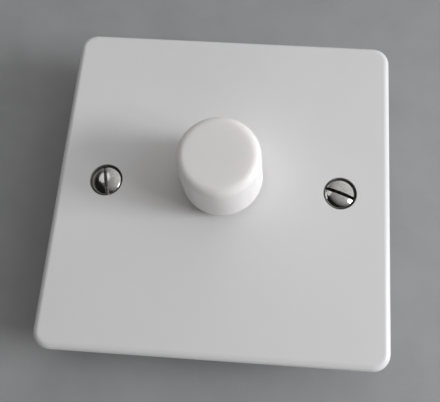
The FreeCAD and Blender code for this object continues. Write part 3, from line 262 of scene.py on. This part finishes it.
FINISHES = {
    "plate_plastic": moulded(
        "plate_white", (0.82, 0.82, 0.825), gloss=(0.26, 0.36), grain=0.0004,
        grain_depth=0.0000025, tint=0.985, coat=0.15, subsurface=0.12),
    "knob_plastic": moulded(
        "knob_white", (0.935, 0.893, 0.878), gloss=(0.34, 0.44), grain=0.0003,
        grain_depth=0.000003, tint=0.975, subsurface=0.9, depth=0.0034),
    "screw_nickel": metal(
        "plated_nickel", (0.74, 0.74, 0.72), gloss=(0.07, 0.16), streak=EVEN, streak_size=0.0012,
        depth=0.000008, tarnish=0.75, spots=0.6),
    "clear_nylon": moulded(
        "natural_nylon", (0.72, 0.71, 0.66), gloss=(0.35, 0.5), grain=0.0003,
        grain_depth=0.000004, tint=0.93, subsurface=0.4),
    "case_plastic": moulded(
        "case_black", (0.022, 0.022, 0.024), gloss=(0.42, 0.58), grain=0.00025,
        grain_depth=0.000018, tint=0.8, specks=0.12),
    "zinc_steel": metal(
        "zinc_plate", (0.62, 0.63, 0.62), gloss=(0.25, 0.42), streak=EVEN, streak_size=0.0018,
        depth=0.000005, tarnish=0.75, spots=0.4),
    "spring_steel": metal(
        "spring_steel", (0.42, 0.42, 0.43), gloss=(0.22, 0.34), streak=(1.0, 1.0, 8.0)),
    "shaft_metal": metal(
        "turned_shaft", (0.76, 0.76, 0.77), gloss=(0.2, 0.34), streak=(0.6, 0.6, 16.0),
        streak_size=0.003),
    "brass": metal(
        "turned_brass", (0.74, 0.53, 0.22), gloss=(0.2, 0.36), streak=(0.8, 0.8, 10.0),
        streak_size=0.003, tarnish=0.6),
    "terminal_steel": metal(
        "passivated_steel", (0.62, 0.56, 0.40), gloss=(0.28, 0.42), streak=EVEN,
        streak_size=0.002),
    "contact_metal": metal(
        "tinned_contact", (0.72, 0.68, 0.58), gloss=(0.28, 0.42), streak=(6.0, 1.0, 1.0),
        streak_size=0.002),
    "aluminium": metal(
        "brushed_aluminium", (0.70, 0.71, 0.72), gloss=(0.28, 0.46), streak=(1.0, 22.0, 1.0),
        streak_size=0.006),
    "phenolic": moulded(
        "brown_laminate", (0.20, 0.10, 0.045), gloss=(0.35, 0.5), grain=0.0006,
        grain_depth=0.00001, tint=0.75),
    "carbon": moulded(
        "printed_carbon", (0.02, 0.02, 0.021), gloss=(0.4, 0.55), grain=0.0002,
        grain_depth=0.000008, tint=0.7),
    "black_moulding": moulded(
        "filled_black", (0.03, 0.03, 0.031), gloss=(0.38, 0.52), grain=0.0003,
        grain_depth=0.00001, tint=0.8),
    "plunger_plastic": moulded(
        "natural_acetal", (0.72, 0.69, 0.60), gloss=(0.25, 0.4), grain=0.0004,
        grain_depth=0.000004, tint=0.92),
    "board": circuit_laminate("solder_mask"),
    "semiconductor": moulded(
        "black_epoxy", (0.02, 0.02, 0.02), gloss=(0.45, 0.6), grain=0.0002,
        grain_depth=0.00001, tint=0.75),
    "pad": moulded(
        "grey_silicone", (0.30, 0.33, 0.36), gloss=(0.55, 0.7), grain=0.0003,
        grain_depth=0.00001, tint=0.85),
    "core": moulded(
        "painted_core", (0.62, 0.50, 0.06), gloss=(0.35, 0.5), grain=0.0005,
        grain_depth=0.00002, tint=0.8),
    "copper": wound_wire("enamelled_copper", (0.72, 0.30, 0.12)),
    "capacitor_case": moulded(
        "capacitor_yellow", (0.65, 0.48, 0.06), gloss=(0.25, 0.36), grain=0.0004,
        grain_depth=0.000004, tint=0.92),
    "capacitor_dip": moulded(
        "capacitor_red", (0.42, 0.06, 0.03), gloss=(0.2, 0.32), grain=0.0008,
        grain_depth=0.00002, tint=0.85),
    "resistor": moulded(
        "resistor_lacquer", (0.38, 0.48, 0.56), gloss=(0.25, 0.38), grain=0.0004,
        grain_depth=0.00001, tint=0.85),
    "diac_glass": glassy("diac_glass", (0.5, 0.16, 0.06)),
    "fuse_ceramic": moulded(
        "fuse_ceramic", (0.80, 0.79, 0.75), gloss=(0.2, 0.32), grain=0.0005,
        grain_depth=0.000004, tint=0.93),
    "trimmer_plastic": moulded(
        "trimmer_blue", (0.03, 0.10, 0.36), gloss=(0.3, 0.42), grain=0.0004,
        grain_depth=0.000005, tint=0.85),
    "trimmer_white": moulded(
        "trimmer_white", (0.78, 0.76, 0.70), gloss=(0.3, 0.42), grain=0.0004,
        grain_depth=0.000005, tint=0.92),
    "terminal_plastic": moulded(
        "terminal_grey", (0.55, 0.55, 0.53), gloss=(0.32, 0.46), grain=0.0004,
        grain_depth=0.000008, tint=0.9),
}


# ---------------------------------------------------------------- painted shade on the front

def paint_shade(material, mask, colour):
    """Painted shade over the present colour wherever the mask is high."""
    tree = material.node_tree
    base = tree.nodes["Principled BSDF"].inputs["Base Color"]
    tree.links.new(mixed(tree, mask, base.links[0].from_socket, colour), base)


def coordinates(material):
    """The tree of a material and the coordinates it uses."""
    tree = material.node_tree
    return tree, tree.nodes["Texture Coordinate"].outputs["Object"]


def paint_well_shade():
    """Painted shade, with a little dust, on the walls of the two screw wells, near the face only.
    """
    screws_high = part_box("fixing_screws")[1]
    head_radius = screws_high.y
    from_middle = screws_high.x - head_radius
    tree, place = coordinates(FINISHES["plate_plastic"])
    x, y, z = apart(tree, place)
    across = calculate(tree, "SUBTRACT", calculate(tree, "ABSOLUTE", x), from_middle)
    across_squared = calculate(tree, "MULTIPLY", across, across)
    y_squared = calculate(tree, "MULTIPLY", y, y)
    away = calculate(tree, "SQRT", calculate(tree, "ADD", across_squared, y_squared))
    full_shade_radius, shade_free_radius = head_radius + 0.10 * MM, head_radius + 0.30 * MM
    ring = between(tree, away, 1.0, 0.0, full_shade_radius, shade_free_radius)
    shade_free_depth, full_shade_depth = 3.2 * MM, 2.8 * MM
    near_face = between(tree, z, 0.0, 1.0, plate_high.z - shade_free_depth, plate_high.z - full_shade_depth)
    patchy = between(tree, noise(tree, place, size=0.0012), 0.75, 0.95)
    mask = calculate(tree, "MULTIPLY", calculate(tree, "MULTIPLY", ring, near_face), patchy)
    # Painted shade: a patchy near-black over the well walls, where shade falls in the recess.
    paint_shade(FINISHES["plate_plastic"], mask, (0.075, 0.072, 0.066))


def paint_slot_shade():
    """Painted shade in the slots and under the rims of the fixing screws, not on their shanks."""
    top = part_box("fixing_screws")[1].z
    tree, place = coordinates(FINISHES["screw_nickel"])
    z = apart(tree, place)[2]
    full_shade_upper, shade_free_upper = top - 1.15 * MM, top - 0.85 * MM
    below_top = between(tree, z, 1.0, 0.0, full_shade_upper, shade_free_upper)
    shade_free_lower, full_shade_lower = top - 1.9 * MM, top - 1.7 * MM
    above_shank = between(tree, z, 0.0, 1.0, shade_free_lower, full_shade_lower)
    low = calculate(tree, "MULTIPLY", below_top, above_shank)
    patchy = between(tree, noise(tree, place, size=0.0007), 0.7, 0.97)
    mask = calculate(tree, "MULTIPLY", low, patchy)
    # Painted shade: a patchy near-black in the slots and under the head rims.
    paint_shade(FINISHES["screw_nickel"], mask, (0.05, 0.048, 0.045))


# Painted shade in the two screw wells and in the screw slots.
paint_well_shade()
paint_slot_shade()

for part in frame["record"]["subparts"]:
    mesh = nodes[part["node"]].data
    mesh.materials.clear()
    mesh.materials.append(FINISHES[part["material_slot"]])


# ---------------------------------------------------------------- small edge radii

SHARP_ANGLE = math.radians(50)
EDGE_RADII_MM = {
    "faceplate": 0.18,
    "rear_case": 0.2,
    "fixing_screws": 0.09,
    "bushing_nut": 0.12,
    "heat_sink": 0.1,
    "terminal_block": 0.12,
}

for name, radius in EDGE_RADII_MM.items():
    modifier = nodes[name].modifiers.new("edge_radius", "BEVEL")
    modifier.width = radius * MM
    modifier.segments = 2
    modifier.limit_method = "ANGLE"
    modifier.angle_limit = SHARP_ANGLE


# ---------------------------------------------------------------- return spring of the push switch

def ring_of(build, centre, out, up, radius, sides):
    """One circle of vertices round a point of the wire."""
    turns = [2 * math.pi * side / sides for side in range(sides)]
    return [build.verts.new(centre + (out * math.cos(turn) + up * math.sin(turn)) * radius)
            for turn in turns]


def make_spring():
    """A round wire coil in the place of the CAD coil."""
    low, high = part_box("plunger_spring")
    wire = 0.35 * MM
    turns, rings_per_turn, sides = 3.5, 36, 10
    radius = (high.x - low.x - wire) / 2
    middle = (low + high) / 2
    rise = high.z - low.z - wire
    pitch = rise / (2 * math.pi * turns)
    build = bmesh.new()
    rings = []
    steps = int(turns * rings_per_turn)
    for step in range(steps + 1):
        turn = 2 * math.pi * step / rings_per_turn
        out = Vector((math.cos(turn), math.sin(turn), 0))
        along = Vector((-math.sin(turn) * radius, math.cos(turn) * radius, pitch)).normalized()
        height = low.z + wire / 2 + rise * step / steps
        centre = Vector((middle.x, middle.y, height)) + out * radius
        rings.append(ring_of(build, centre, out, out.cross(along), wire / 2, sides))
    for ring, following in zip(rings, rings[1:]):
        for side, corner in enumerate(ring):
            beside = (side + 1) % sides
            build.faces.new((corner, ring[beside], following[beside], following[side]))
    build.faces.new(rings[0])
    build.faces.new(rings[-1])
    bmesh.ops.recalc_face_normals(build, faces=build.faces)
    for face in build.faces:
        face.smooth = len(face.verts) == 4
    mesh = bpy.data.meshes.new("return_spring")
    build.to_mesh(mesh)
    build.free()
    mesh.materials.append(FINISHES["spring_steel"])
    spring = bpy.data.objects.new("return_spring", mesh)
    scene.collection.objects.link(spring)
    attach(spring, "module")
    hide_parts("plunger_spring")
    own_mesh(spring)


make_spring()


# ---------------------------------------------------------------- floor, light and camera

def make_floor(radius, sides):
    """A plain pale round floor under the back of the case."""
    mesh = bpy.data.meshes.new("floor")
    build = bmesh.new()
    bmesh.ops.create_circle(build, cap_ends=True, segments=sides, radius=radius)
    bmesh.ops.translate(build, verts=build.verts, vec=(0, 0, floor_height))
    build.to_mesh(mesh)
    build.free()
    floor = bpy.data.objects.new("floor", mesh)
    scene.collection.objects.link(floor)
    material, tree, shader, place = new_material("floor_grey")
    clouds = noise(tree, place, size=0.02, detail=5.0, roughness=0.6)
    greys = ramp(tree, clouds, (0.34, 0.345, 0.35), (0.375, 0.38, 0.385))
    tree.links.new(greys, shader.inputs["Base Color"])
    shader.inputs["Roughness"].default_value = 0.7
    mesh.materials.append(material)


def make_world(towards, dim, bright, wall_glow, wall_top):
    """Soft light, stronger from one side, and pale walls that fade upwards from the horizon."""
    world = bpy.data.worlds.new("studio")
    world.use_nodes = True
    tree = world.node_tree
    where = tree.nodes.new("ShaderNodeTexCoord").outputs["Generated"]
    side = tree.nodes.new("ShaderNodeVectorMath")
    side.operation = "DOT_PRODUCT"
    tree.links.new(where, side.inputs[0])
    side.inputs[1].default_value = Vector(towards).normalized()
    level = between(tree, side.outputs["Value"], dim, bright, start=0.25, end=1.0)
    walls = between(tree, apart(tree, where)[2], wall_glow, 0.0, start=0.0, end=wall_top)
    background = tree.nodes["Background"]
    tree.links.new(calculate(tree, "ADD", level, walls), background.inputs["Strength"])
    background.inputs["Color"].default_value = (1.0, 0.985, 0.975, 1)
    scene.world = world


def make_light(name, azimuth, elevation, distance, wide, tall, power, colour):
    """A soft light aimed at the plate. Azimuth 0 is on +X, 90 on +Y."""
    data = bpy.data.lights.new(name, "AREA")
    data.shape = "ELLIPSE"
    data.size = wide
    data.size_y = tall
    data.energy = power
    data.color = colour
    lamp = bpy.data.objects.new(name, data)
    turn, rise = math.radians(azimuth), math.radians(elevation)
    level = math.cos(rise)
    away = Vector((math.cos(turn) * level, math.sin(turn) * level, math.sin(rise)))
    lamp.location = face_middle + away * distance
    lamp.rotation_mode = "QUATERNION"
    lamp.rotation_quaternion = (-away).to_track_quat("-Z", "Y")
    scene.collection.objects.link(lamp)


def make_camera():
    """Nearly overhead, a little in front and to the right, looking slightly back up the plate."""
    data = bpy.data.cameras.new("camera")
    data.sensor_fit = "HORIZONTAL"
    data.sensor_width = 36.0
    data.lens = 40.47
    data.shift_x = -0.0568
    data.shift_y = 0.0318
    data.clip_start = 0.005
    data.clip_end = 20
    camera = bpy.data.objects.new("camera", data)
    camera.location = face_middle + Vector((10.95, -39.29, 120.58)) * MM
    camera.rotation_euler = [math.radians(turn) for turn in (15.013, 1.147, 3.876)]
    scene.collection.objects.link(camera)
    scene.camera = camera


# name, azimuth and elevation in degrees, distance, width and height in metres, watts, colour
LIGHTS = (
    ("window", -3, 21, 0.8, 0.24, 0.26, 3.7, (0.95, 0.97, 1.0)),
    ("upper_window", -2, 42, 0.8, 0.38, 0.38, 0.80, (0.95, 0.97, 1.0)),
    ("lamp", -18, 30, 0.6, 0.08, 0.08, 0.36, (1.0, 0.95, 0.92)),
    ("ceiling", 140, 54, 0.4, 0.20, 0.20, 0.065, (1.0, 0.99, 0.97)),
    ("front_fill", -74, 17, 0.6, 0.35, 0.35, 0.27, (1.0, 0.97, 0.97)),
)

make_floor(radius=6.0, sides=96)
make_world(towards=(0.6, 0.55, 0.58), dim=0.010, bright=0.685, wall_glow=0.38, wall_top=0.55)
for light in LIGHTS:
    make_light(*light)
make_camera()
scene.view_settings.view_transform = "Standard"
